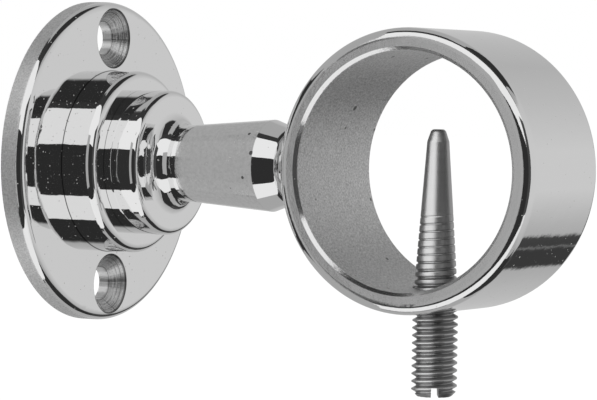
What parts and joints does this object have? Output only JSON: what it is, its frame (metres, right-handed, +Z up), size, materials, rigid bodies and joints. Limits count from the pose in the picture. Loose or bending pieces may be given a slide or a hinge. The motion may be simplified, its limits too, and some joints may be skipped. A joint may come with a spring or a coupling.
{
  "type": "rope holder",
  "caption": "Wall-mounted handrail rope holder: round rosette, turned stem and a horizontal eye for the rope, with a pointed set screw that pins the rope.",
  "frame": {"origin": "centre of the rosette's wall face", "axes": "+X out of the wall along the stem, +Y along the rope, +Z up"},
  "size_m": [0.0726, 0.044, 0.0516],
  "materials": {
    "plated_brass": "polished chrome plate on brass",
    "screw_steel": "machined steel, fine turning marks"
  },
  "bodies": {
    "bracket": {"wall_rosette": "plated_brass", "stem": "plated_brass", "eye_ring": "plated_brass", "foot_screw": "screw_steel"},
    "pin": {"pin_screw": "screw_steel"}
  },
  "joints": [
    {"name": "pin_travel", "type": "slide", "parent": "bracket", "child": "pin", "axis": [0, 0, 1], "range_m": [-0.02, 0.009]}
  ]
}
